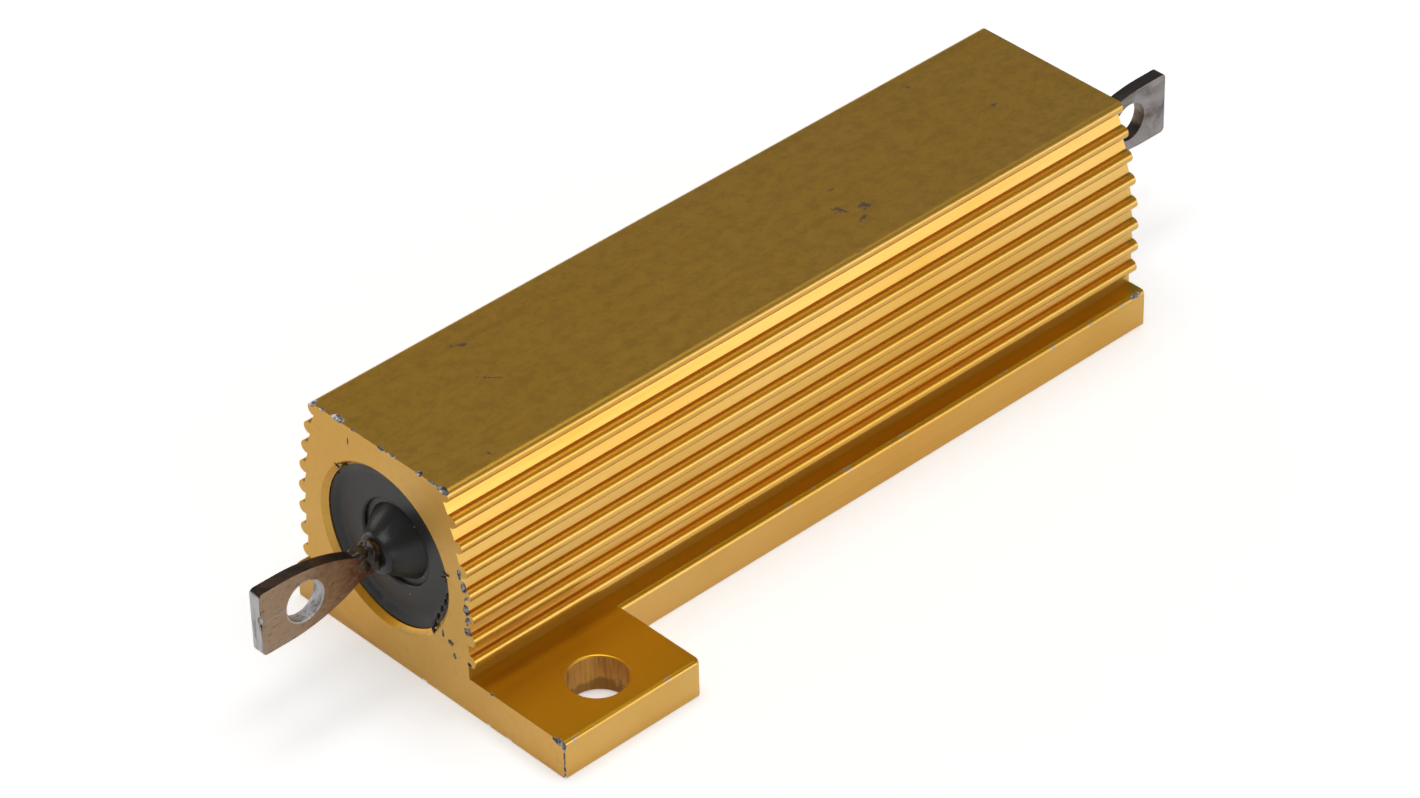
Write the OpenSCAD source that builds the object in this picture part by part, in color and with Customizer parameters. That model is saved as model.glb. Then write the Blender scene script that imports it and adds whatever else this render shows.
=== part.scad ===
// Chassis-mounted wirewound power resistor in a finned, gold-anodised aluminium housing.
// Origin: centre of the mounting face. +X runs across the body, +Y along it, +Z away from
// the mounting face. All sizes are millimetres.

/* [Housing extrusion] */
// Length of the extruded body
body_l = 49.1; // [46:0.1:60]
// Height from the mounting face to the flat top
body_h = 13.9; // [13:0.1:15.5]
// Thickness of the base flange and of the tabs
base_t = 2.3; // [1.6:0.1:2.8]
// Width over the base flange where it has no tab
flange_w = 14.9; // [14.2:0.1:18]
// Width over the fins at the widest place
side_w = 13.76; // [13.4:0.02:16]
// Radius of the bulged line that the fin tips follow
barrel_r = 25; // [22:0.5:60]
// Height at which the bulge is widest
barrel_z = 5.2; // [4:0.1:7]

/* [Fins] */
// Number of fins on each side, the rounded top corner included
fin_n = 8; // [6:1:8]
// Thickness of a fin
fin_w = 0.75; // [0.5:0.05:0.85]
// Depth of the grooves between the fins
fin_depth = 0.55; // [0.42:0.01:0.65]
// Height of the lowest fin's centre above the flange
fin_foot = 1.25; // [0.9:0.05:1.6]
// How much further out a groove's floor stands at its foot
floor_lean = 0.1; // [0:0.01:0.2]

/* [Bore] */
// Diameter of the bore that takes the winding
bore_d = 9.45; // [9.2:0.05:10]
// Height of the bore's centre above the mounting face
bore_z = 7.26; // [7.1:0.01:7.6]
// Bevel at each mouth of the bore
bore_bevel = 0.3; // [0.1:0.05:0.35]

/* [Mounting tabs] */
// Width over the two tabs
tab_span = 26.9; // [26:0.1:32]
// Length of a tab along the body
tab_l = 9.55; // [8:0.05:12]
// Radius of a tab's outer corner away from the end of the body
tab_corner = 0.4; // [0.2:0.05:1]
// Diameter of the screw holes
hole_d = 3.3; // [2.5:0.1:3.6]
// Distance from the side of a tab to its screw hole's centre
hole_edge = 2.75; // [2.3:0.05:3.2]
// Distance from the end of the body to the screw hole
hole_inset = 4.8; // [4:0.1:5.4]

/* [Moulded filling] */
// Depth of the moulding's outer edge below the end of the housing
rim_depth = 0.37; // [0.36:0.01:0.6]
// Depth of the flat ring round the recess
face_depth = 0.75; // [0.65:0.01:1]
// Outer diameter of the flat ring
face_d = 7.9; // [7.2:0.05:8.4]
// Diameter of the recess round the terminal
recess_d = 5; // [4.8:0.05:5.6]
// Depth of the recess below the flat ring
recess_depth = 0.25; // [0.22:0.01:0.5]
// Radius of the rounded lip of the recess
lip_r = 0.2; // [0.1:0.01:0.2]
// Diameter of the conical boss round the terminal at its tip
boss_d = 2.5; // [2.2:0.05:2.7]
// Diameter of the boss at the floor of the recess
boss_root_d = 4.4; // [3.4:0.05:4.6]
// Reach of the boss past the end of the housing
boss_reach = 0.7; // [0.2:0.05:1]
// Radius of the boss's rounded tip
boss_round = 0.3; // [0.1:0.05:0.4]

/* [Resistance element] */
// Diameter of the ceramic core
core_d = 5; // [4:0.1:5.4]
// Distance from the end of the housing to the end of the ceramic core
core_inset = 6.55; // [5.8:0.05:8]
// Bevel on the ends of the core
core_bevel = 0.3; // [0.1:0.05:0.5]
// Wall of the pressed end caps
cap_wall = 0.35; // [0.25:0.05:0.5]
// Thickness of the closed end of a cap
cap_floor = 0.4; // [0.3:0.05:0.8]
// Length of a cap over its skirt
cap_l = 6; // [4:0.5:8]
// Outer rounding of a cap's closed end
cap_round = 0.3; // [0.1:0.05:0.35]
// Diameter of the resistance wire
wire_d = 0.5; // [0.3:0.05:0.6]
// Pitch of the winding
wire_pitch = 1.5; // [1.2:0.1:2.5]
// Length of winding that is welded on each cap
wire_lap = 1; // [0.6:0.1:1.6]

/* [Terminals] */
// Thickness of the terminal strip
lug_t = 0.8; // [0.6:0.05:1]
// Height of the lug's blade
lug_h = 3.96; // [3.6:0.02:4.4]
// Height of the strip through the boss
stem_h = 1.4; // [1:0.05:1.7]
// Reach of the front lug past the end of the housing
reach_front = 8.5; // [8:0.05:12]
// Reach of the rear lug past the end of the housing
reach_rear = 9.05; // [8:0.05:12]
// Length of the parallel part of the blade
blade_l = 1.65; // [0.8:0.05:2.4]
// Radius of the curved shoulders that narrow the blade to the stem
shoulder_r = 10.5; // [8:0.25:12]
// Diameter of the wire eyelet
eye_d = 2.36; // [1.8:0.02:2.6]
// Distance from the end of the lug to the eyelet's centre
eye_inset = 2.9; // [2:0.05:3.4]
// Radius of the lug's outer corners
lug_corner = 0.3; // [0.1:0.05:0.6]

/* [Clearances] */
// Gap between the moulding and what it fills or holds
pot_gap = 0.02; // [0.01:0.01:0.05]
// Gap between a cap and the core
cap_gap = 0.02; // [0.01:0.01:0.05]
// Gap between the wire and what it is wound on
wire_gap = 0.03; // [0.03:0.01:0.06]
// Gap at the weld between a cap and its terminal
weld_gap = 0.02; // [0.01:0.01:0.05]

/* [Hidden] */
$fn = 64;
eps = 0.5;

// housing
body_end = body_l / 2;
fin_top_z = body_h - fin_w / 2;
fin_low_z = base_t + fin_foot;
fin_pitch = (fin_top_z - fin_low_z) / (fin_n - 1);
bore_r = bore_d / 2;
tab_edge = tab_span / 2;
tab_root = flange_w / 2 - 1;
hole_x = tab_edge - hole_edge;
hole_y = body_end - hole_inset;

// resistance element
core_r = core_d / 2;
core_end = body_end - core_inset;
cap_bore_r = core_r + cap_gap;
cap_r = cap_bore_r + cap_wall;
cap_inner = core_end + cap_gap;
cap_face = cap_inner + cap_floor;
cap_rim = cap_face - cap_l;
wire_r = wire_d / 2;
wire_core_r = core_r + wire_gap + wire_r;
wire_cap_r = cap_r + wire_gap + wire_r;
wire_end = cap_rim + wire_lap;
wire_turns = 2 * wire_end / wire_pitch;
climb_l = 0.6;
climb_end = cap_rim - wire_r;
climb_start = climb_end - climb_l;
wire_sides = 6;
wire_steps = 24;

// moulding
mould_r = bore_r - pot_gap;
rim_y = body_end - rim_depth;
face_y = body_end - face_depth;
floor_y = face_y - recess_depth;
boss_y = body_end + boss_reach;
face_r = face_d / 2;
recess_r = recess_d / 2;
boss_r = boss_d / 2;
boss_root_r = boss_root_d / 2;
pocket_end = cap_face + pot_gap;
lap_start = climb_start - wire_r;
lap_end = wire_end + wire_r + pot_gap;

// terminals
stem_start = cap_face + weld_gap;

// Half-width of the bulged side at a height.
function side_x(z) = side_w / 2 - barrel_r + sqrt(pow(barrel_r, 2) - pow(z - barrel_z, 2));

// Height of a fin's centre, counted down from the top corner.
function fin_z(i) = fin_top_z - i * fin_pitch;

// Centre of the round tip of a fin.
function tip_x(i) = side_x(fin_z(i)) - fin_w / 2;

// Height of the top of the groove's lower bound: the flange, or the fin below.
function below_z(i) = i == fin_n - 1 ? base_t : fin_z(i + 1) + fin_w / 2;

// Height of the underside of a fin.
function under_z(i) = fin_z(i) - fin_w / 2;

// Floor of a groove at a height, before it leans out.
function floor_x(z) = side_x(z) - fin_depth;

// One half of the section, from the mounting face up to the flat top.
function half_section() = [
    [flange_w / 2, 0],
    [flange_w / 2, base_t],
    for (i = [fin_n - 1 : -1 : 0]) each [
        [floor_x(below_z(i)) + floor_lean, below_z(i)],
        [floor_x(under_z(i)), under_z(i)],
        [tip_x(i), under_z(i)],
        [tip_x(i), fin_z(i) + fin_w / 2]
    ]
];

function mirrored(p) = [for (k = [len(p) - 1 : -1 : 0]) [-p[k][0], p[k][1]]];

module along_y(l) {
    translate([0, l / 2, 0])
        rotate([90, 0, 0])
            linear_extrude(l)
                children();
}

// Turns a profile drawn as radius and distance along the body about the bore's axis.
module about_bore() {
    translate([0, 0, bore_z])
        rotate([-90, 0, 0])
            rotate_extrude()
                children();
}

module front_and_rear() {
    children();
    rotate([0, 0, 180])
        children();
}

module rear_to_front() {
    rotate([0, 0, 180])
        children();
}

module fin_section() {
    half = half_section();
    polygon(concat(half, mirrored(half)));
    for (i = [0 : fin_n - 1], side = [-1, 1])
        translate([side * tip_x(i), fin_z(i)])
            circle(d = fin_w);
}

// Tab on the left at the rear end, with its screw hole still to be drilled.
module tab_plate() {
    translate([-tab_edge, body_end - tab_l, 0])
        linear_extrude(base_t) {
            translate([tab_corner, 0])
                square([tab_edge - tab_root - tab_corner, tab_l]);
            translate([0, tab_corner])
                square([tab_edge - tab_root, tab_l - tab_corner]);
            translate([tab_corner, tab_corner])
                circle(tab_corner);
        }
}

module screw_hole() {
    translate([-hole_x, hole_y, -eps])
        cylinder(d = hole_d, h = base_t + 2 * eps);
}

module bore_cut() {
    translate([0, 0, bore_z])
        rotate([90, 0, 0])
            cylinder(r = bore_r, h = body_l + 2 * eps, center = true);
    front_and_rear()
        translate([0, body_end - bore_bevel, bore_z])
            rotate([-90, 0, 0])
                cylinder(r1 = bore_r, r2 = bore_r + bore_bevel + eps, h = bore_bevel + eps);
}

module housing() {
    color([0.79, 0.59, 0.27])
        difference() {
            union() {
                along_y(body_l)
                    fin_section();
                front_and_rear()
                    tab_plate();
            }
            bore_cut();
            front_and_rear()
                screw_hole();
        }
}

// Half of the moulding's profile, from the middle of the body to one end.
module mould_profile() {
    polygon([
        [0, -eps],
        [mould_r, -eps],
        [mould_r, rim_y],
        [face_r, face_y],
        [recess_r + lip_r, face_y],
        [recess_r, face_y - lip_r],
        [recess_r, floor_y],
        [boss_root_r, floor_y],
        [boss_r, boss_y - boss_round],
        [boss_r - boss_round, boss_y],
        [0, boss_y]
    ]);
    translate([recess_r + lip_r, face_y - lip_r])
        circle(lip_r);
    translate([boss_r - boss_round, boss_y - boss_round])
        circle(boss_round);
}

// Room in the moulding for the core, the caps and the winding.
module element_pocket() {
    about_bore()
        union() {
            square([cap_r + pot_gap, pocket_end]);
            square([wire_core_r + wire_r + pot_gap, climb_start]);
            translate([0, lap_start])
                square([wire_cap_r + wire_r + pot_gap, lap_end - lap_start]);
        }
}

// Straight stem from the weld to a given distance along the body.
module stem_profile(tip, grow) {
    stem = stem_h / 2 + grow;
    translate([stem_start - grow, -stem])
        square([tip - stem_start + grow, 2 * stem]);
}

module moulded_body() {
    color([0.16, 0.15, 0.15])
        difference() {
            front_and_rear()
                about_bore()
                    mould_profile();
            front_and_rear()
                element_pocket();
            front_and_rear()
                upright_strip(lug_t + 2 * pot_gap)
                    stem_profile(boss_y + eps, pot_gap);
        }
}

module ceramic_core() {
    color([0.93, 0.92, 0.88])
        about_bore()
            polygon([
                [0, -core_end],
                [core_r - core_bevel, -core_end],
                [core_r, -core_end + core_bevel],
                [core_r, core_end - core_bevel],
                [core_r - core_bevel, core_end],
                [0, core_end]
            ]);
}

// How far the wire has climbed from the core on to a cap, from 0 to 1.
function climb(a) = min(1, max(0, (abs(a) - climb_start) / climb_l));

function path_r(a) = wire_core_r + (wire_cap_r - wire_core_r) * (1 - cos(180 * climb(a))) / 2;

// One cross-section of the wire, on the plane through the bore's axis at an angle.
function wire_ring(a, turn) = [
    for (k = [0 : wire_sides - 1])
        let (
            r = path_r(a) + wire_r * cos(360 * k / wire_sides),
            y = a + wire_r * sin(360 * k / wire_sides)
        )
        [r * cos(turn), y, bore_z + r * sin(turn)]
];

module resistance_wire() {
    steps = ceil(wire_turns * wire_steps);
    m = wire_sides;
    points = [
        for (j = [0 : steps])
            each wire_ring(-wire_end + 2 * wire_end * j / steps, 360 * wire_turns * j / steps)
    ];
    sides = [
        for (j = [0 : steps - 1], k = [0 : m - 1])
            let (a = j * m + k, b = j * m + (k + 1) % m)
            each [[a, b, b + m], [a, b + m, a + m]]
    ];
    first = [for (k = [1 : m - 2]) [0, k + 1, k]];
    last = [for (k = [1 : m - 2]) [steps * m, steps * m + k, steps * m + k + 1]];
    color([0.62, 0.58, 0.53])
        polyhedron(points = points, faces = concat(sides, first, last));
}

module cap_profile() {
    difference() {
        union() {
            translate([0, cap_rim])
                square([cap_r, cap_l - cap_round]);
            square([cap_r - cap_round, cap_face]);
            translate([cap_r - cap_round, cap_face - cap_round])
                circle(cap_round);
        }
        translate([0, -eps])
            square([cap_bore_r, cap_inner + eps]);
        square([cap_r, cap_rim]);
    }
}

module end_cap() {
    color([0.72, 0.71, 0.69])
        about_bore()
            cap_profile();
}

module end_cap_rear() {
    end_cap();
}

module end_cap_front() {
    rear_to_front()
        end_cap();
}

// Stands a profile drawn as distance along the body and height above the bore's axis upright.
module upright_strip(thick) {
    translate([0, 0, bore_z])
        rotate([90, 0, 90])
            linear_extrude(thick, center = true)
                children();
}

// Blade with curved shoulders, rounded outer corners and the eyelet.
module blade_profile(reach) {
    end = body_end + reach;
    shoulder = end - blade_l;
    half = lug_h / 2;
    difference() {
        union() {
            intersection() {
                translate([shoulder, half - shoulder_r])
                    circle(shoulder_r);
                translate([shoulder, shoulder_r - half])
                    circle(shoulder_r);
                translate([shoulder - shoulder_r, -half])
                    square([shoulder_r, lug_h]);
            }
            translate([shoulder, -half])
                square([blade_l - lug_corner, lug_h]);
            translate([shoulder, lug_corner - half])
                square([blade_l, lug_h - 2 * lug_corner]);
            for (side = [-1, 1])
                translate([end - lug_corner, side * (half - lug_corner)])
                    circle(lug_corner);
            stem_profile(shoulder, 0);
        }
        translate([end - eye_inset, 0])
            circle(d = eye_d);
    }
}

module terminal(reach) {
    color([0.66, 0.6, 0.54])
        upright_strip(lug_t)
            blade_profile(reach);
}

module terminal_rear() {
    terminal(reach_rear);
}

module terminal_front() {
    rear_to_front()
        terminal(reach_front);
}

housing();
moulded_body();
ceramic_core();
resistance_wire();
end_cap_front();
end_cap_rear();
terminal_front();
terminal_rear();
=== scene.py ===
"""Looks for the aluminium housed power resistor: finishes, worn edges, chips and studio."""

import math

import bmesh
import bpy
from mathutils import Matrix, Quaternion, Vector, noise


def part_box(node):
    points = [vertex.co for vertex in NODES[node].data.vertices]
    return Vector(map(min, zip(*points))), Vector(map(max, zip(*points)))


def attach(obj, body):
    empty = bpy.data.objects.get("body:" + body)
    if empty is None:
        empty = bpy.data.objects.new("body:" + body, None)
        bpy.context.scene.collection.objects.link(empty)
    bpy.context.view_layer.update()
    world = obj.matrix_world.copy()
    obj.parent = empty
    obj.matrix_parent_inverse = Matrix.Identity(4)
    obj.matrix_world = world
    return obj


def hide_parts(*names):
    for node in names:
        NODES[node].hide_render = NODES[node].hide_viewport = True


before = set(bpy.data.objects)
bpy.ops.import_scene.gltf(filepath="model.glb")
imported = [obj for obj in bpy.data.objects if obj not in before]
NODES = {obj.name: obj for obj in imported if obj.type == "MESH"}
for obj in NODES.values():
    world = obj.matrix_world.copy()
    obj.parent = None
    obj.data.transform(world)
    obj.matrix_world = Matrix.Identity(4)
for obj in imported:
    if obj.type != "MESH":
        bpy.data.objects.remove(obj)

MM = 0.001
BODY = "root"
HOUSING_LOW, HOUSING_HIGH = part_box("housing")
NEAR_END = HOUSING_LOW.y

# ---------------------------------------------------------------- sizes on the part
# Height of the base flange and the tabs
FLANGE_TOP = 2.3 * MM
# Side of the narrow flange beyond the tabs
NARROW_SIDE = 7.45 * MM
# An edge further out than this is on the flange and not on a flank
FLANGE_SIDE = 7.3 * MM
# The flat top's own finish fades out between these depths below it
TOP_FADE = (0.15 * MM, 0.5 * MM)
# The flange's own finish fades out between these heights
FLANGE_FADE = (2.8 * MM, 3.2 * MM)
# Screw hole: from the tab's outer side and from the end, and a reach just past its wall
SCREW_HOLE_INSET = Vector((2.75, 4.8)) * MM
SCREW_HOLE_REACH = 1.7 * MM
# Eyelet: from the lug's outer end, and a reach just past its wall
EYELET_INSET = 2.9 * MM
EYELET_REACH = 1.24 * MM

# ---------------------------------------------------------------- widths of eased edges
DRAWN_EDGE = 0.14 * MM
FIN_FILLET = 0.12 * MM
FLANGE_EDGE = 0.24 * MM
HOLE_EDGE = 0.13 * MM
LUG_EDGE = 0.05 * MM
MOULDED_EDGE = 0.03 * MM

# ---------------------------------------------------------------- mesh limits
MERGE_WITHIN = 0.0005 * MM
FLAT_ANGLE = math.radians(0.6)
EASED_ANGLE = math.radians(38)
CREASE_ANGLE = math.radians(32)
MOULDED_CREASE = math.radians(28)
# Tolerances for the flange's top and for its sawn ends
ON_TOP_WITHIN = 0.01 * MM
AT_END_WITHIN = 0.02 * MM
# Place of the chips' torn finish among the housing's materials
TORN = 2

# ---------------------------------------------------------------- camera
CAMERA_LENS = 139.34
CAMERA_AIM = Vector((2.258, -3.735, 7.0)) * MM
CAMERA_DISTANCE = 291.53 * MM
CAMERA_AZIMUTH = math.radians(47.564)
CAMERA_ELEVATION = math.radians(37.035)
CAMERA_ROLL = math.radians(-1.505)

# ---------------------------------------------------------------- studio
# Grey levels of the walls, the ceiling and the dark front, as reflections see them
WALLS = 0.95
CEILING = 0.205
DARK_FRONT = 0.04
# Where the walls have darkened to the ceiling's grey: 0 is level, 1 is straight up
WALL_TOP = 0.25
# Light added to the paper's own, to the camera and in reflections
FLOOR_LIFT = 0.36
FLOOR_LIFT_IN_METAL = 0.05
# The paper goes over to plain white between these distances from the part
FLOOR_NEAR = 60 * MM
FLOOR_FAR = 220 * MM
FLOOR_HALF = 3.0
FLOOR_DROP = 0.02 * MM
LIGHT_AIM = (0, 0, 0.005)
# Soft lamps: name, place and size in metres, watts
LAMPS = [
    ("top_soft", (0.0, 0.0, 0.60), (0.45, 0.45), 1.9),
    ("right_soft", (0.44, 0.10, 0.10), (0.50, 0.16), 0.44),
    ("left_soft", (-0.44, -0.10, 0.12), (0.50, 0.18), 0.40),
]

# ---------------------------------------------------------------- colours, linear
WHITE = (1, 1, 1)
PAPER = (0.91, 0.91, 0.91)
PAPER_LIGHT = (0.94, 0.94, 0.94)
GOLD = (0.82, 0.465, 0.085)
GOLD_PALE = (0.86, 0.54, 0.15)
# The deep gold is both a random deeper tone and painted shade on up-facing faces; the groove,
# ledge and flange golds are painted shade
GOLD_DEEP_AND_SHADE = (0.72, 0.39, 0.030)
GOLD_GROOVE_SHADE = (0.92, 0.43, 0.030)
GOLD_LEDGE_SHADE = (0.66, 0.42, 0.075)
GOLD_FLANGE_SHADE = (0.58, 0.34, 0.012)
GREY_FILM = (0.10, 0.085, 0.07)
BROWN_FILM = (0.40, 0.20, 0.030)
SCUFF = (0.20, 0.17, 0.14)
DRILLED = (0.50, 0.25, 0.04)
HOLE_FOOT_DARK = (0.24, 0.10, 0.015)
BARE = (0.46, 0.44, 0.43)
# The dark of the torn metal is painted shade in its hollows
CHIP_HOLLOW_SHADE = (0.075, 0.06, 0.05)
CHIP_BRIGHT = (0.55, 0.53, 0.53)
BLACK = (0.024, 0.023, 0.023)
# Greyer black: painted light on the moulding's flats that face the ends
BLACK_LIT = (0.030, 0.028, 0.028)
DUST = (0.42, 0.41, 0.40)
TINT_TAN = (0.42, 0.30, 0.20)
TINT_BROWN = (0.30, 0.185, 0.11)
TINT_RED = (0.20, 0.085, 0.045)
TINT_PURPLE = (0.10, 0.060, 0.055)
# The soot black is both real dark streaks and painted shade on the front lug's top edge; the
# brown beside it is painted shade
SOOT_AND_SHADE = (0.035, 0.024, 0.016)
SHADE_BROWN = (0.085, 0.052, 0.03)
SHEAR_DARK = (0.32, 0.31, 0.31)
SHEAR_BRIGHT = (0.62, 0.61, 0.61)
TIN = (0.38, 0.355, 0.345)
TIN_SMEAR = (0.16, 0.13, 0.12)
TIN_BRIGHT = (0.5, 0.48, 0.47)
# Painted shade for the rear lug's up-facing upper edges
TIN_SHADE = (0.055, 0.045, 0.040)
FLUX_BURNT = (0.014, 0.008, 0.004)
# The amber is partly the flux's own colour and partly painted glints
FLUX_AMBER_AND_GLINT = (0.11, 0.062, 0.020)
CERAMIC = (0.80, 0.78, 0.72)
CERAMIC_SHADE = (0.70, 0.67, 0.60)
ALLOY = (0.46, 0.40, 0.34)
STEEL = (0.56, 0.55, 0.53)

# Scuffs on the flat top: x, y, half-length, half-width in mm, direction in degrees
TOP_MARKS = [
    (-3.43, -15.81, 0.55, 0.14, 60),
    (-0.34, -16.68, 0.62, 0.10, 40),
    (1.74, 6.49, 0.60, 0.22, 20),
    (2.35, 7.76, 0.45, 0.30, 70),
    (5.24, 4.54, 0.10, 0.55, 5),
    (3.10, 6.90, 0.35, 0.10, 110),
    (-4.10, 17.30, 0.30, 0.12, 30),
    (0.60, 19.40, 0.25, 0.20, 80),
    (4.40, -20.90, 0.35, 0.12, 20),
]


# ---------------------------------------------------------------- node helpers
class Graph:
    """A node tree with short calls: inputs are sockets to link, or plain values."""

    def __init__(self, tree):
        self.tree = tree
        tree.nodes.clear()

    def add(self, kind, inputs=None, **settings):
        node = self.tree.nodes.new("ShaderNode" + kind)
        for key, value in settings.items():
            setattr(node, key, value)
        for key, value in (inputs or {}).items():
            socket = node.inputs[key]
            if isinstance(value, bpy.types.NodeSocket):
                self.tree.links.new(value, socket)
            elif isinstance(value, tuple) and len(value) == 3 and socket.type == "RGBA":
                socket.default_value = (*value, 1)
            else:
                socket.default_value = value
        return node

    def math(self, operation, a, b=0.0):
        return self.add("Math", {0: a, 1: b}, operation=operation).outputs[0]

    def plus(self, a, b):
        return self.math("ADD", a, b)

    def minus(self, a, b):
        return self.math("SUBTRACT", a, b)

    def times(self, *factors):
        product = factors[0]
        for factor in factors[1:]:
            product = self.math("MULTIPLY", product, factor)
        return product

    def distance(self, a, b):
        """Length of the vector with these two components."""
        return self.math("SQRT", self.plus(self.times(a, a), self.times(b, b)))

    def ramp(self, value, start, end):
        """0 at start, 1 at end, smooth between them."""
        node = self.add(
            "MapRange",
            {"Value": value, "From Min": start, "From Max": end},
            interpolation_type="SMOOTHSTEP",
        )
        return node.outputs[0]

    def mix(self, factor, a, b):
        return self.add("Mix", {0: factor, 6: a, 7: b}, data_type="RGBA").outputs[2]

    def tint(self, colour, toward, mask, share):
        """The colour, moved this share of the way to another where the mask is 1."""
        return self.mix(self.times(mask, share), colour, toward)

    def place(self, scale=(1, 1, 1), offset=(0, 0, 0)):
        """Object coordinates in metres, scaled along each axis."""
        where = self.add("TexCoord").outputs["Object"]
        node = self.add("Mapping", {"Vector": where, "Scale": scale, "Location": offset})
        return node.outputs[0]

    def noise(self, vector, scale, detail=3.0, rough=0.55, warp=0.0):
        node = self.add("TexNoise", {
            "Vector": vector, "Scale": scale, "Detail": detail,
            "Roughness": rough, "Distortion": warp,
        })
        return node.outputs["Fac"]

    def axis(self, name):
        """One object coordinate in metres."""
        where = self.add("TexCoord").outputs["Object"]
        return self.add("SeparateXYZ", {0: where}).outputs[name]

    def facing(self, name):
        """One component of the true surface normal, in the object's frame."""
        normal = self.add("TexCoord").outputs["Normal"]
        return self.add("SeparateXYZ", {0: normal}).outputs[name]

    def bump(self, height, strength, distance, normal=None):
        inputs = {"Height": height, "Strength": strength, "Distance": distance}
        if normal is not None:
            inputs["Normal"] = normal
        return self.add("Bump", inputs).outputs[0]

    def surface(self, **inputs):
        names = {key.replace("_", " "): value for key, value in inputs.items()}
        shader = self.add("BsdfPrincipled", names)
        self.add("OutputMaterial", {"Surface": shader.outputs[0]})


def material(name):
    made = bpy.data.materials.new(name)
    made.use_nodes = True
    return made, Graph(made.node_tree)


def specks(g, scale, size, share, seed):
    """Small sparse dots: a cell's dot shows where the cell's own random number is low."""
    cells = g.add(
        "TexVoronoi",
        {"Vector": g.place((1, 0.6, 1), (seed, seed, seed)), "Scale": scale},
    )
    dot = g.ramp(cells.outputs["Distance"], size, size * 0.5)
    chosen = g.add("SeparateColor", {0: cells.outputs["Color"]}).outputs[0]
    return g.times(dot, g.math("LESS_THAN", chosen, share))


# ---------------------------------------------------------------- anodised finish
def marks(g, places):
    """1 on ragged scuffs, each an ellipse laid flat at its place and in its direction."""
    where = g.add("TexCoord").outputs["Object"]
    ragged = g.noise(where, 3000, 8, 0.85)
    total = 0.0
    for x, y, half_length, half_width, angle in places:
        spot = g.add("Mapping", {
            "Vector": where,
            "Location": (x * MM, y * MM, 0),
            "Rotation": (0, 0, math.radians(angle)),
            "Scale": (half_length * MM, half_width * MM, 1),
        }, vector_type="TEXTURE")
        flat = g.add("VectorMath", {0: spot.outputs[0], 1: (1, 1, 0)}, operation="MULTIPLY")
        reach = g.add("VectorMath", {0: flat.outputs[0]}, operation="LENGTH").outputs["Value"]
        reach = g.plus(reach, g.times(g.minus(ragged, 0.5), 7.0))
        total = g.math("MAXIMUM", total, g.ramp(reach, 1.1, 0.5))
    return total


def below_top(g):
    """0 on the flat top and 1 everywhere lower."""
    start, end = TOP_FADE
    return g.ramp(g.axis("Z"), HOUSING_HIGH.z - start, HOUSING_HIGH.z - end)


def on_flat_top(g):
    level = g.ramp(g.facing("Z"), 0.9, 0.98)
    return g.times(level, g.minus(1.0, below_top(g)))


def gold_shade_by_direction(g, colour):
    """Painted shade: deeper gold on faces that look up, and darker golds on the fins'
    up-facing sides in the grooves, the ledges and the flange top.
    """
    tilt = g.facing("Z")
    colour = g.tint(colour, GOLD_DEEP_AND_SHADE, g.ramp(tilt, 0.4, 0.9), 0.7)
    shaded_groove = g.times(g.ramp(tilt, 0.45, 0.65), below_top(g))
    level = g.ramp(tilt, 0.97, 0.99)
    colour = g.mix(shaded_groove, colour, g.mix(level, GOLD_GROOVE_SHADE, GOLD_LEDGE_SHADE))
    full, none = FLANGE_FADE
    low = g.ramp(g.axis("Z"), none, full)
    return g.mix(g.times(g.ramp(tilt, 0.7, 0.9), low), colour, GOLD_FLANGE_SHADE)


def weathered_top(g, colour):
    """Smudges, mottling and scuffs on the flat top; returns the dulled places too."""
    upward = on_flat_top(g)
    smudge = g.ramp(g.noise(g.place((1, 0.8, 1), (0.3, 0.1, 0)), 420, 8, 0.8, 0.6), 0.58, 0.66)
    smudge = g.times(smudge, upward, 0.32)
    colour = g.mix(smudge, colour, GREY_FILM)
    mottle = g.ramp(g.noise(g.place((1, 0.7, 1)), 1300, 8, 0.8), 0.42, 0.62)
    colour = g.mix(g.times(mottle, upward, 0.35), colour, BROWN_FILM)
    scuffed = g.times(marks(g, TOP_MARKS), g.times(upward, 0.9))
    colour = g.mix(scuffed, colour, GREY_FILM)
    return colour, g.plus(smudge, scuffed)


def screw_hole_wall(g):
    """1 on the walls of both screw holes; they are a half turn apart about the upright."""
    x, y = g.axis("X"), g.axis("Y")
    side = g.math("SIGN", x)
    across = g.minus(g.times(x, side), HOUSING_HIGH.x - SCREW_HOLE_INSET.x)
    along = g.minus(g.times(y, side), HOUSING_LOW.y + SCREW_HOLE_INSET.y)
    upright = g.ramp(g.math("ABSOLUTE", g.facing("Z")), 0.5, 0.3)
    near = g.math("LESS_THAN", g.distance(across, along), SCREW_HOLE_REACH)
    return g.times(upright, near)


def drilled(g, colour, in_hole):
    """Drill lines down the screw holes' walls, and a darker band towards their foot."""
    lines = g.ramp(g.noise(g.place((1, 1, 0.06)), 5200, 3, 0.6), 0.46, 0.66)
    colour = g.mix(g.times(in_hole, g.times(lines, 0.6)), colour, DRILLED)
    ragged = g.times(g.noise(g.place(), 1700, 4, 0.7), 1.6 * MM)
    foot = g.ramp(g.plus(g.axis("Z"), ragged), 1.8 * MM, 1.4 * MM)
    return g.tint(colour, HOLE_FOOT_DARK, g.times(in_hole, foot), 0.6)


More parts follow.
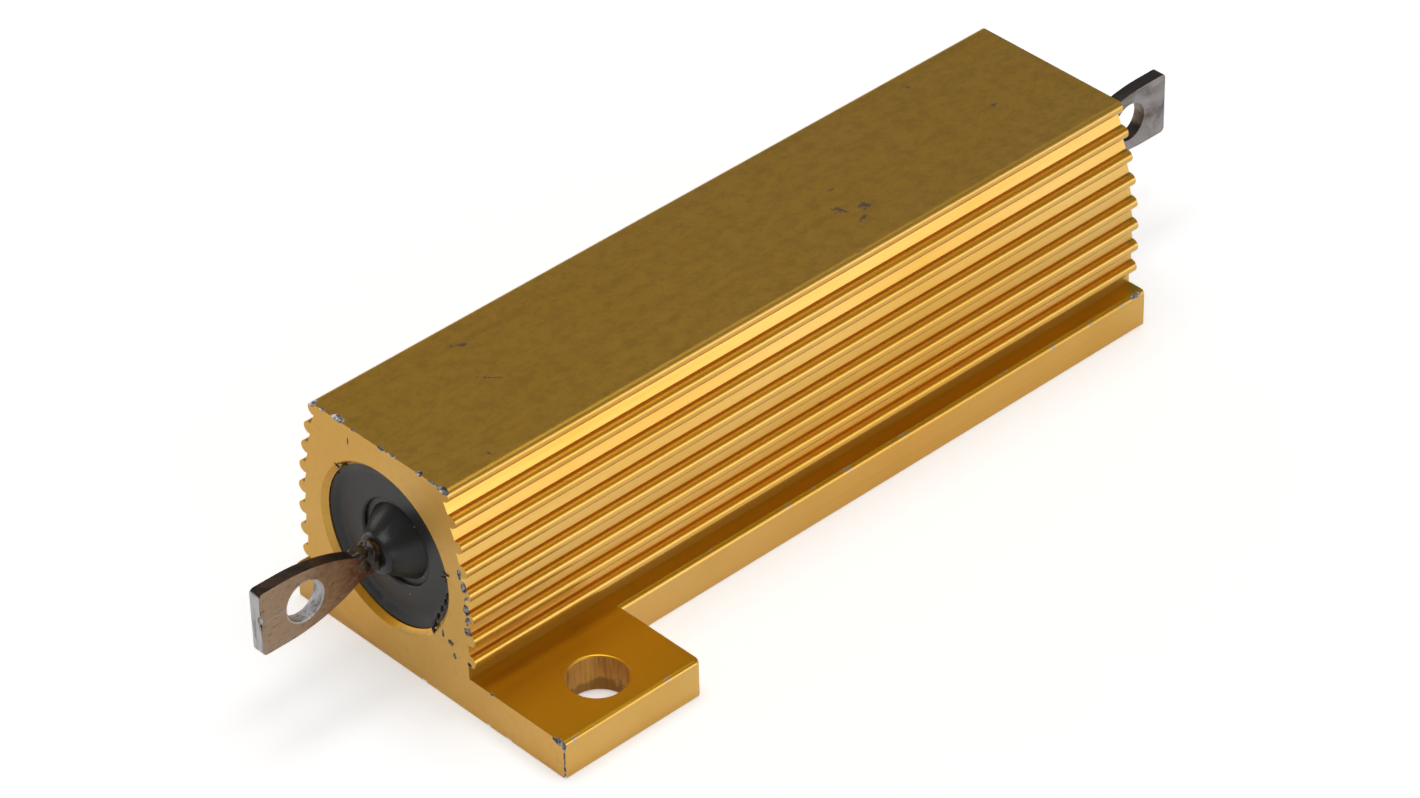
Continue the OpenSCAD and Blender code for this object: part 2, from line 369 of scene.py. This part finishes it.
def anodised(name, worn):
    """Satin gold anodising, brushed along the body; worn is for the edges."""
    made, g = material(name)
    streaks = g.noise(g.place((2600, 45, 2600)), 1.0, 4, 0.6)
    cloud = g.noise(g.place(), 150, 3, 0.5, 0.4)
    broad = g.noise(g.place((1, 0.5, 1)), 60, 2)
    colour = g.mix(g.ramp(broad, 0.35, 0.7), GOLD, GOLD_PALE)
    colour = g.tint(colour, GOLD_DEEP_AND_SHADE, g.ramp(cloud, 0.45, 0.75), 0.3)
    colour = g.tint(colour, GOLD_DEEP_AND_SHADE, g.ramp(streaks, 0.5, 0.72), 0.25)
    # Painted shade: up-facing faces, fin tops, ledges and flange top are darkened
    colour = gold_shade_by_direction(g, colour)
    colour, dulled = weathered_top(g, colour)
    colour = g.tint(colour, SCUFF, specks(g, 620, 0.16, 0.04, 0.7), 0.8)
    in_hole = screw_hole_wall(g)
    colour = drilled(g, colour, in_hole)
    if worn:
        wear = g.ramp(g.noise(g.place(), 900, 4, 0.65), 0.58, 0.68)
        colour = g.tint(colour, BARE, wear, 0.8)
    rough = g.plus(0.28, g.times(streaks, 0.12))
    endward = g.ramp(g.math("ABSOLUTE", g.facing("Y")), 0.5, 0.7)
    for mask, share in ((endward, 0.16), (dulled, 0.35), (in_hole, 0.25)):
        rough = g.plus(rough, g.times(mask, share))
    normal = g.bump(streaks, 0.12, 0.02 * MM)
    normal = g.bump(g.noise(g.place(), 9000, 2), 0.1, 0.02 * MM, normal)
    g.surface(
        Base_Color=colour, Metallic=1.0, Roughness=rough, Normal=normal,
        Coat_Weight=0.25, Coat_Roughness=0.3, Coat_IOR=1.5,
    )
    return made


def torn_metal():
    """Torn aluminium at the chips, darkened in its hollows as painted shade."""
    made, g = material("bare_aluminium")
    grain = g.noise(g.place(), 5200, 5, 0.7)
    g.surface(
        Base_Color=g.mix(g.ramp(grain, 0.38, 0.62), CHIP_HOLLOW_SHADE, CHIP_BRIGHT),
        Metallic=0.9, Roughness=0.42, Normal=g.bump(grain, 0.6, 0.08 * MM),
    )
    return made


# ---------------------------------------------------------------- other finishes
def moulding():
    """Black silicone moulding compound, satin and a little dusty; its flats facing the ends
    are greyer in patches as painted light.
    """
    made, g = material("moulding_black")
    cloud = g.noise(g.place(), 420, 4, 0.6)
    # Painted light: flats facing the ends are greyer, in patches
    flat = g.ramp(g.math("ABSOLUTE", g.facing("Y")), 0.93, 0.99)
    colour = g.mix(g.times(flat, g.ramp(cloud, 0.25, 0.6)), BLACK, BLACK_LIT)
    colour = g.mix(specks(g, 2200, 0.12, 0.05, 0.2), colour, DUST)
    g.surface(
        Base_Color=colour, Roughness=g.plus(0.26, g.times(cloud, 0.16)),
        Specular_IOR_Level=0.45, Normal=g.bump(g.noise(g.place(), 6000, 3), 0.12, 0.03 * MM),
    )
    return made


def eyelet_wall(g, node):
    """1 on the wall of a lug's eyelet, known by its distance from the eyelet's centre."""
    low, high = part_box(node)
    outer = low.y if abs(low.y) > abs(high.y) else high.y
    centre_y = outer - math.copysign(EYELET_INSET, outer)
    centre_z = (low.z + high.z) / 2
    reach = g.distance(g.minus(g.axis("Y"), centre_y), g.minus(g.axis("Z"), centre_z))
    return g.ramp(reach, EYELET_REACH * 1.05, EYELET_REACH)


def heat_tints(g, cloud):
    """Tan at the lug's tip, then brown, red and purple towards the moulding."""
    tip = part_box("terminal_front")[0].y
    along = g.add("MapRange", {"Value": g.axis("Y"), "From Min": tip, "From Max": NEAR_END})
    drift = g.plus(along.outputs[0], g.times(g.minus(cloud, 0.5), 0.8))
    colour = g.mix(g.ramp(drift, 0.25, 0.62), TINT_TAN, TINT_BROWN)
    colour = g.mix(g.ramp(drift, 0.58, 0.80), colour, TINT_RED)
    return g.mix(g.ramp(drift, 0.86, 1.08), colour, TINT_PURPLE)


def stained_lug():
    """Heat-tinted strip, darker along its top edge as painted shade, bare where it was sheared
    or pierced.
    """
    made, g = material("heat_tinted_lug")
    cloud = g.noise(g.place((1, 1, 1.4)), 620, 6, 0.7, 0.6)
    drawn = g.noise(g.place((1, 0.4, 0.8)), 5200, 7, 0.75)
    colour = heat_tints(g, cloud)
    colour = g.tint(colour, TIN, g.ramp(drawn, 0.50, 0.64), 0.40)
    colour = g.tint(colour, SOOT_AND_SHADE, g.ramp(drawn, 0.46, 0.36), 0.40)
    colour = g.tint(colour, SHEAR_BRIGHT, specks(g, 3600, 0.18, 0.05, 0.4), 0.5)
    # Painted shade: up-facing faces away from the broad sides are darkened, in patches
    broadside = g.ramp(g.math("ABSOLUTE", g.facing("X")), 0.62, 0.85)
    upper_shade = g.times(g.ramp(g.facing("Z"), 0.25, 0.5), g.minus(1.0, broadside))
    colour = g.mix(upper_shade, colour, g.mix(g.ramp(cloud, 0.4, 0.6), SOOT_AND_SHADE, SHADE_BROWN))
    sheared = g.ramp(g.facing("Y"), -0.7, -0.95)
    bare = g.math("MAXIMUM", eyelet_wall(g, "terminal_front"), sheared)
    shear_lines = g.noise(g.place((1, 1, 0.15)), 5200, 4, 0.6)
    bright = g.mix(g.ramp(shear_lines, 0.34, 0.52), SHEAR_DARK, SHEAR_BRIGHT)
    colour = g.mix(bare, colour, bright)
    normal = g.bump(g.noise(g.place(), 2600, 4), 0.25, 0.04 * MM)
    normal = g.bump(drawn, 0.3, 0.03 * MM, normal)
    rough = g.plus(0.36, g.times(cloud, 0.2))
    g.surface(Base_Color=colour, Metallic=0.8, Roughness=rough, Normal=normal)
    return made


def tinned_lug():
    """Dull tinned strip with smears, darker along its upper edges as painted shade."""
    made, g = material("dull_tinned_lug")
    cloud = g.noise(g.place((1, 0.6, 1)), 600, 5, 0.65, 0.6)
    grain = g.noise(g.place((1, 0.1, 1)), 4200, 3)
    colour = g.mix(g.ramp(cloud, 0.35, 0.68), TIN, TIN_SMEAR)
    colour = g.tint(colour, TIN_BRIGHT, g.ramp(grain, 0.5, 0.75), 0.3)
    # Painted shade on the up-facing faces
    colour = g.mix(g.ramp(g.facing("Z"), 0.35, 0.7), colour, TIN_SHADE)
    rough = g.plus(0.34, g.times(cloud, 0.2))
    normal = g.bump(grain, 0.2, 0.03 * MM)
    g.surface(Base_Color=colour, Metallic=0.85, Roughness=rough, Normal=normal)
    return made


def flux():
    """Glassy dark flux with amber patches, which are partly the flux's own amber and partly
    painted glints.
    """
    made, g = material("burnt_flux")
    cloud = g.noise(g.place(), 1300, 4, 0.6)
    g.surface(
        Base_Color=g.mix(g.ramp(cloud, 0.44, 0.66), FLUX_BURNT, FLUX_AMBER_AND_GLINT),
        Roughness=0.34, Specular_IOR_Level=0.45,
        Normal=g.bump(g.noise(g.place(), 1500, 3), 0.12, 0.06 * MM),
    )
    return made


def ceramic():
    """Unglazed off-white ceramic with a fine grain."""
    made, g = material("unglazed_ceramic")
    cloud = g.noise(g.place(), 700, 4)
    g.surface(
        Base_Color=g.mix(g.ramp(cloud, 0.35, 0.7), CERAMIC, CERAMIC_SHADE),
        Roughness=0.75, Normal=g.bump(g.noise(g.place(), 6000, 3), 0.3, 0.03 * MM),
    )
    return made


def plain_metal(name, colour, rough):
    """Drawn or pressed metal with fine lines."""
    made, g = material(name)
    lines = g.noise(g.place((1, 0.1, 1)), 5200, 3)
    dark = tuple(level * 0.7 for level in colour)
    g.surface(
        Base_Color=g.mix(g.ramp(lines, 0.35, 0.7), colour, dark), Metallic=1.0,
        Roughness=g.plus(rough, g.times(lines, 0.12)),
        Normal=g.bump(lines, 0.2, 0.02 * MM),
    )
    return made


# ---------------------------------------------------------------- meshes
def link(name, mesh):
    piece = bpy.data.objects.new(name, mesh)
    bpy.context.scene.collection.objects.link(piece)
    return piece


def merged_copy(node):
    """The CAD node's mesh with its split corners joined and its flat faces made whole."""
    made = bmesh.new()
    made.from_mesh(NODES[node].data)
    bmesh.ops.remove_doubles(made, verts=made.verts, dist=MERGE_WITHIN)
    bmesh.ops.dissolve_limit(
        made, angle_limit=FLAT_ANGLE, verts=made.verts, edges=made.edges
    )
    made.normal_update()
    return made


def apply_modifiers(piece):
    graph = bpy.context.evaluated_depsgraph_get()
    mesh = bpy.data.meshes.new_from_object(piece.evaluated_get(graph))
    piece.modifiers.clear()
    piece.data = mesh


def eased(name, node, passes, materials):
    """A stand-in for a node; each pass eases its sharp edges by widths(edge) metres."""
    made = merged_copy(node)
    mesh = bpy.data.meshes.new(name)
    made.to_mesh(mesh)
    made.free()
    mesh.materials.clear()
    for finish in materials:
        mesh.materials.append(finish)
    for face in mesh.polygons:
        face.material_index = 0
    piece = link(name, mesh)
    for widths in passes:
        ease(piece, widths, len(materials) - 1)
    return piece


def ease(piece, widths, edge_material):
    """Rounds each sharp edge by its width; the new faces take the edge material."""
    made = bmesh.new()
    made.from_mesh(piece.data)
    made.normal_update()
    weight = made.edges.layers.float.get("bevel_weight_edge")
    weight = weight or made.edges.layers.float.new("bevel_weight_edge")
    wanted = {
        edge: widths(edge) for edge in made.edges
        if len(edge.link_faces) == 2 and edge.calc_face_angle(0) > EASED_ANGLE
    }
    widest = max(wanted.values())
    for edge in made.edges:
        edge[weight] = wanted.get(edge, 0.0) / widest
    made.to_mesh(piece.data)
    made.free()
    bevel = piece.modifiers.new("eased", "BEVEL")
    bevel.limit_method = "WEIGHT"
    bevel.width = widest
    bevel.segments = 3
    bevel.material = edge_material if edge_material else -1
    apply_modifiers(piece)


def smooth(piece, angle=CREASE_ANGLE):
    """Smooth shading that keeps creases and the chips' borders sharp, and large faces flat."""
    for face in piece.data.polygons:
        face.use_smooth = True
    piece.data.set_sharp_from_angle(angle=angle)
    made = bmesh.new()
    made.from_mesh(piece.data)
    for edge in made.edges:
        if len({face.material_index for face in edge.link_faces}) > 1:
            torn = any(face.material_index == TORN for face in edge.link_faces)
            edge.smooth = edge.smooth and not torn
    made.to_mesh(piece.data)
    made.free()
    flat = piece.modifiers.new("flat_faces", "WEIGHTED_NORMAL")
    flat.keep_sharp = True
    flat.weight = 100


def stone(name, centre, size, seed, finish, turn, detail, lumps):
    """A lumpy pebble, turned by so many degrees about the body's length."""
    made = bmesh.new()
    bmesh.ops.create_icosphere(made, subdivisions=detail, radius=1)
    turned = Quaternion((0, 1, 0), -math.radians(turn))
    for vert in made.verts:
        push = noise.noise(vert.co * 1.7 + Vector((seed * 7.3, 0, 0)))
        push += 0.5 * noise.noise(vert.co * 4.1 + Vector((0, seed * 3.1, 0)))
        vert.co *= 1 + lumps * push
        vert.co = Vector(centre) + turned @ Vector(vert.co[i] * size[i] for i in range(3))
    mesh = bpy.data.meshes.new(name)
    made.to_mesh(mesh)
    made.free()
    mesh.materials.append(finish)
    return link(name, mesh)


def stones(name, finish, places, detail=2, lumps=0.35):
    """Pebbles; each place gives a centre and a size in mm, and a turn if it has one."""
    pebbles = []
    for i, (centre, size, *turn) in enumerate(places):
        pebbles.append(stone(
            f"{name}_{i}", Vector(centre) * MM, Vector(size) * MM, i + 1, finish,
            turn[0] if turn else 0.0, detail, lumps,
        ))
    return pebbles


def joined(name, pieces):
    """One piece of several, with the first one's materials."""
    made = bmesh.new()
    for piece in pieces:
        made.from_mesh(piece.data)
    mesh = bpy.data.meshes.new(name)
    made.to_mesh(mesh)
    made.free()
    for finish in pieces[0].data.materials:
        mesh.materials.append(finish)
    for piece in pieces:
        bpy.data.objects.remove(piece)
    return link(name, mesh)


def is_closed(mesh):
    made = bmesh.new()
    made.from_mesh(mesh)
    closed = all(edge.is_manifold for edge in made.edges)
    made.free()
    return closed


def cut_away(piece, cutters):
    """Cuts the cutters out one by one and removes them; a cut that leaves holes is undone."""
    for cutter in cutters:
        whole = piece.data
        cut = piece.modifiers.new("chip", "BOOLEAN")
        cut.operation = "DIFFERENCE"
        cut.solver = "EXACT"
        cut.material_mode = "TRANSFER"
        cut.object = cutter
        apply_modifiers(piece)
        if not is_closed(piece.data):
            piece.data = whole
        bpy.data.objects.remove(cutter)


# ---------------------------------------------------------------- housing
def middle_of(edge):
    return (edge.verts[0].co + edge.verts[1].co) / 2


def by_screw_hole(place):
    """Whether a place on the housing is on the edge of a screw hole."""
    side = math.copysign(1, place.x)
    hole = Vector((HOUSING_HIGH.x, HOUSING_LOW.y)) + SCREW_HOLE_INSET * Vector((-1, 1))
    return (place.xy * side - hole).length < SCREW_HOLE_REACH


def hole_edge_width(edge):
    return HOLE_EDGE if edge.is_convex and by_screw_hole(middle_of(edge)) else 0.0


def flange_edge_width(edge):
    """The flange's and tabs' top outline, all but its sawn ends, is well rounded."""
    low, high = HOUSING_LOW.y + AT_END_WITHIN, HOUSING_HIGH.y - AT_END_WITHIN
    ends = [vert.co for vert in edge.verts]
    on_top = all(abs(end.z - FLANGE_TOP) < ON_TOP_WITHIN for end in ends)
    outside = all(abs(end.x) > FLANGE_SIDE for end in ends)
    sawn = all(end.y < low or end.y > high for end in ends)
    if on_top and outside and edge.is_convex and not sawn and not by_screw_hole(ends[0]):
        return FLANGE_EDGE
    return 0.0


def drawn_edge_width(edge):
    """Edges along the body are a little round, with fillets under the fins."""
    start, end = (vert.co for vert in edge.verts)
    if abs((end - start).normalized().y) < 0.99:
        return 0.0
    if edge.is_convex:
        return DRAWN_EDGE
    underneath = any(face.normal.z < -0.5 for face in edge.link_faces)
    return FIN_FILLET if underneath else 0.0


def chips(finish):
    """Cutters for chips and gouges: each one's place on the part and its size, in mm."""
    low, high = HOUSING_LOW / MM, HOUSING_HIGH / MM
    near, top, tab_x = low.y, high.z, high.x
    tab_top, flange_x = FLANGE_TOP / MM, NARROW_SIDE / MM
    places = [
        # along the near end of the flat top
        ((-5.25, near, top), (0.38, 0.40, 0.22)),
        ((-4.30, near, top), (0.22, 0.12, 0.08)),
        ((-3.15, near - 0.05, top), (0.50, 0.42, 0.12)),
        ((-1.90, near, top), (0.14, 0.10, 0.10)),
        ((0.25, near, top), (0.30, 0.16, 0.09)),
        ((1.15, near, top), (0.40, 0.10, 0.06)),
        ((3.20, near, top), (0.26, 0.26, 0.16)),
        ((4.30, near, top), (0.40, 0.10, 0.10)),
        ((5.05, near, top - 0.05), (0.42, 0.26, 0.26)),
        ((5.62, near, top - 0.55), (0.16, 0.14, 0.32)),
        # gouges beside the fins of the near end
        ((5.95, near, 9.00), (0.16, 0.10, 0.34)),
        ((6.25, near, 8.30), (0.24, 0.16, 0.40)),
        ((6.45, near, 7.55), (0.22, 0.16, 0.30)),
        ((6.35, near, 6.85), (0.28, 0.16, 0.36)),
        ((6.50, near, 6.10), (0.30, 0.20, 0.36)),
        ((6.35, near, 5.45), (0.26, 0.18, 0.24)),
        ((4.95, near, 3.95), (0.24, 0.16, 0.18)),
        ((5.20, near, 3.20), (0.12, 0.10, 0.20)),
        ((4.36, near, 4.25), (0.10, 0.10, 0.26)),
        ((6.35, near, 3.30), (0.16, 0.12, 0.14)),
        # scratch above the bore
        ((-2.35, near, 12.95), (0.06, 0.07, 0.30)),
        # the near tab's corner and its upright edge
        ((tab_x - 0.40, near, tab_top), (0.48, 0.16, 0.30)),
        ((tab_x, near, tab_top - 0.20), (0.18, 0.18, 0.34)),
        ((tab_x, near, tab_top - 0.95), (0.08, 0.08, 0.52)),
        ((tab_x, near, 0.60), (0.09, 0.08, 0.50)),
        ((tab_x, near, 0.0), (0.20, 0.18, 0.16)),
        # the tab's other edges and the bottom edge of the near end
        ((7.95, near, tab_top), (0.14, 0.10, 0.12)),
        ((9.10, near, 0.0), (0.30, 0.10, 0.08)),
        ((7.60, near, 0.0), (0.20, 0.10, 0.10)),
        ((2.60, near, 0.0), (0.26, 0.10, 0.08)),
        # along the narrow flange
        ((flange_x, -14.2, tab_top), (0.14, 0.26, 0.10)),
        ((flange_x, -12.5, tab_top), (0.07, 0.16, 0.08)),
        ((flange_x, 23.9, tab_top), (0.22, 0.50, 0.20)),
    ]
    return stones("chip_cutters", finish, places)


def make_housing():
    gold = anodised("gold_anodising", worn=False)
    edge = anodised("gold_anodising_worn", worn=True)
    # A pass for each width, because all edges of one pass are held to the least room
    passes = [hole_edge_width, flange_edge_width, drawn_edge_width]
    piece = eased("housing_finish", "housing", passes, [gold, edge])
    cut_away(piece, chips(torn_metal()))
    smooth(piece)
    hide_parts("housing")
    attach(piece, BODY)


# ---------------------------------------------------------------- terminals
def lug_edge_width(edge):
    return LUG_EDGE if edge.is_convex else 0.0


def make_lug(name, node, finish, cutters=()):
    piece = eased(name, node, [lug_edge_width], [finish])
    cut_away(piece, cutters)
    smooth(piece)
    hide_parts(node)
    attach(piece, BODY)


def front_lug_nicks(finish):
    """Shear marks at the cut end, two creases from it to the eyelet and two beyond it."""
    low, high = (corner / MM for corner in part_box("terminal_front"))
    face, tip, middle = high.x, low.y, (low.z + high.z) / 2
    return stones("nick_cutters", finish, [
        ((face, tip, middle + 0.25), (0.26, 0.16, 0.34)),
        ((face, tip + 0.1, middle + 1.0), (0.06, 0.14, 0.16)),
        ((face + 0.02, tip + 0.8, middle + 0.12), (0.055, 0.95, 0.05)),
        ((face + 0.02, tip + 0.9, middle - 0.42), (0.05, 0.85, 0.04)),
        ((face + 0.02, tip + 5.0, middle + 0.9), (0.04, 0.35, 0.06)),
        ((face + 0.02, tip + 4.7, middle - 0.5), (0.035, 0.4, 0.05)),
    ])


def make_flux():
    """Flux left where the front strip leaves the moulding: lumps run together and relaxed."""
    low, high = (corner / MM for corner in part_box("terminal_front"))
    end, middle = NEAR_END / MM, (low.z + high.z) / 2
    piece = joined("flux_residue", stones("flux", flux(), [
        ((0.00, end - 1.00, middle + 0.42), (0.66, 0.55, 0.72)),
        ((0.10, end - 0.88, middle - 0.05), (0.58, 0.42, 0.76)),
        ((0.00, end - 1.70, middle + 0.64), (0.50, 0.80, 0.34)),
        ((0.24, end - 1.50, middle + 0.05), (0.26, 0.60, 0.58)),
    ], detail=4, lumps=0.14))
    remesh = piece.modifiers.new("run_together", "REMESH")
    remesh.mode = "VOXEL"
    remesh.voxel_size = 0.035 * MM
    remesh.use_smooth_shade = True
    relaxed = piece.modifiers.new("relaxed", "SMOOTH")
    relaxed.factor = 0.8
    relaxed.iterations = 14
    apply_modifiers(piece)
    for face in piece.data.polygons:
        face.use_smooth = True
    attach(piece, BODY)


# ---------------------------------------------------------------- moulding
def moulded_edge_width(edge):
    return MOULDED_EDGE if edge.is_convex else 0.0


def around_bore(radius, degrees, depth):
    """A place by the near end in mm: distance and angle about the bore, depth inside it."""
    low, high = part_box("moulded_body")
    middle = (low.z + high.z) / 2 / MM
    angle = math.radians(degrees)
    return (
        radius * math.cos(angle), NEAR_END / MM + depth, middle + radius * math.sin(angle)
    )


def rim_bites(finish):
    """The notch in the moulding's rim and the chewed stretch below it."""
    places = [
        (around_bore(4.35, 4, 0.38), (0.72, 0.55, 0.10), 8),
        (around_bore(4.62, 5, 0.36), (0.30, 0.45, 0.18), 12),
        (around_bore(4.60, 145, 0.30), (0.30, 0.16, 0.10), -20),
    ]
    bites, apart = 15, 2.9
    for i in range(bites):
        swing = math.sin(i * 2.3)
        places.append((
            around_bore(4.28 + 0.20 * swing, -1 - apart * i, 0.36),
            (0.09 + 0.05 * abs(swing), 0.16, 0.20), -3 * i,
        ))
    return stones("rim_cutters", finish, places)


def make_moulding():
    finish = moulding()
    piece = eased("moulded_body_finish", "moulded_body", [moulded_edge_width], [finish])
    cut_away(piece, rim_bites(finish))
    smooth(piece, MOULDED_CREASE)
    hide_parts("moulded_body")
    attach(piece, BODY)


def make_flash():
    """Thin splinters of moulding compound pressed out over the bore's mouth."""
    piece = joined("moulding_flash", stones("flash", bpy.data.materials["moulding_black"], [
        (around_bore(4.98, 13.5, -0.02), (0.30, 0.05, 0.05), -4),
        (around_bore(4.80, 9.5, 0.05), (0.34, 0.10, 0.07), 16),
        (around_bore(4.90, 7.0, 0.10), (0.16, 0.14, 0.10), 30),
        (around_bore(4.90, 133.5, 0.0), (0.26, 0.05, 0.05), -18),
        (around_bore(4.75, 128, 0.12), (0.40, 0.12, 0.05), 32),
        (around_bore(4.86, -43, 0.05), (0.07, 0.10, 0.26), 20),
        (around_bore(4.62, -40, 0.15), (0.12, 0.16, 0.20), 10),
        (around_bore(4.45, -33, 0.25), (0.08, 0.14, 0.22), 0),
        (around_bore(4.40, -24, 0.28), (0.07, 0.12, 0.26), -8),
        (around_bore(4.50, -15, 0.26), (0.08, 0.12, 0.24), -4),
        (around_bore(4.66, -7, 0.22), (0.08, 0.12, 0.18), 6),
    ]))
    smooth(piece)
    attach(piece, BODY)


# ---------------------------------------------------------------- the other nodes
def dress(node, finish):
    slots = NODES[node].data.materials
    slots.clear()
    slots.append(finish)


# ---------------------------------------------------------------- camera and studio
def make_camera():
    back = Vector((
        math.sin(CAMERA_AZIMUTH) * math.cos(CAMERA_ELEVATION),
        -math.cos(CAMERA_AZIMUTH) * math.cos(CAMERA_ELEVATION),
        math.sin(CAMERA_ELEVATION),
    ))
    data = bpy.data.cameras.new("camera")
    data.lens = CAMERA_LENS
    data.clip_start = 0.01
    data.clip_end = 20
    camera = bpy.data.objects.new("camera", data)
    camera.location = CAMERA_AIM + back * CAMERA_DISTANCE
    camera.rotation_mode = "QUATERNION"
    level = (-back).to_track_quat("-Z", "Y")
    camera.rotation_quaternion = level @ Quaternion((0, 0, 1), CAMERA_ROLL)
    bpy.context.scene.collection.objects.link(camera)
    bpy.context.scene.camera = camera


def make_lights():
    for name, place, size, power in LAMPS:
        data = bpy.data.lights.new(name, "AREA")
        data.shape = "RECTANGLE"
        data.size, data.size_y = size
        data.energy = power
        lamp = bpy.data.objects.new(name, data)
        lamp.location = place
        lamp.rotation_mode = "QUATERNION"
        toward = Vector(LIGHT_AIM) - Vector(place)
        lamp.rotation_quaternion = toward.to_track_quat("-Z", "Y")
        bpy.context.scene.collection.objects.link(lamp)


def make_world():
    """White walls to the camera; reflections see them darken towards ceiling and front."""
    world = bpy.data.worlds.new("studio")
    world.use_nodes = True
    bpy.context.scene.world = world
    g = Graph(world.node_tree)
    looked = g.add("SeparateXYZ", {0: g.add("TexCoord").outputs["Generated"]}).outputs
    walls, ceiling, dark = ((level,) * 3 for level in (WALLS, CEILING, DARK_FRONT))
    walls = g.mix(g.ramp(looked["Z"], 0.0, WALL_TOP), walls, ceiling)
    walls = g.mix(g.ramp(looked["Y"], -0.70, -0.92), walls, dark)
    room = g.add("Background", {"Color": walls, "Strength": 1.0})
    white = g.add("Background", {"Color": WHITE, "Strength": 1.0})
    camera = g.add("LightPath").outputs["Is Camera Ray"]
    both = g.add("MixShader", {0: camera, 1: room.outputs[0], 2: white.outputs[0]})
    g.add("OutputWorld", {"Surface": both.outputs[0]})


def seen_directly(g):
    """1 for what the camera sees, itself or in a reflection or through glass."""
    ways = g.add("LightPath").outputs
    seen = g.math("MAXIMUM", ways["Is Camera Ray"], ways["Is Glossy Ray"])
    return g.math("MAXIMUM", seen, ways["Is Transmission Ray"])


def floor_paper():
    """White paper that keeps the object's shadow and goes over to plain white further out."""
    made, g = material("floor_paper")
    where = g.add("TexCoord").outputs["Object"]
    colour = g.mix(g.noise(where, 900, 3), PAPER, PAPER_LIGHT)
    paper = g.add("BsdfDiffuse", {"Color": colour}).outputs[0]
    direct = g.add("LightPath").outputs["Is Camera Ray"]
    lift = g.add("MapRange", {
        "Value": direct, "To Min": FLOOR_LIFT_IN_METAL, "To Max": FLOOR_LIFT,
    }).outputs[0]
    lift = g.add("Emission", {"Color": WHITE, "Strength": lift}).outputs[0]
    near = g.add("AddShader", {0: paper, 1: lift}).outputs[0]
    white = g.add("Emission", {"Color": WHITE, "Strength": 1.0}).outputs[0]
    distance = g.add("VectorMath", {0: where}, operation="LENGTH").outputs["Value"]
    far = g.ramp(distance, FLOOR_NEAR, FLOOR_FAR)
    seen = g.add("MixShader", {0: far, 1: near, 2: white}).outputs[0]
    both = g.add("MixShader", {0: seen_directly(g), 1: paper, 2: seen}).outputs[0]
    g.add("OutputMaterial", {"Surface": both})
    return made


def make_floor():
    mesh = bpy.data.meshes.new("floor")
    half = FLOOR_HALF
    mesh.from_pydata(
        [(-half, -half, 0), (half, -half, 0), (half, half, 0), (-half, half, 0)],
        [], [(0, 1, 2, 3)],
    )
    mesh.materials.append(floor_paper())
    floor = link("floor", mesh)
    floor.location.z = -FLOOR_DROP


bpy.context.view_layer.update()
make_camera()
make_world()
make_lights()
make_floor()
bpy.context.scene.view_settings.view_transform = "Standard"

make_housing()
tinted = stained_lug()
make_lug(
    "terminal_front_finish", "terminal_front", tinted, front_lug_nicks(tinted)
)
make_lug("terminal_rear_finish", "terminal_rear", tinned_lug())
make_flux()
make_moulding()
make_flash()
dress("ceramic_core", ceramic())
dress("resistance_wire", plain_metal("resistance_alloy", ALLOY, 0.35))
caps = plain_metal("pressed_steel", STEEL, 0.28)
dress("end_cap_front", caps)
dress("end_cap_rear", caps)
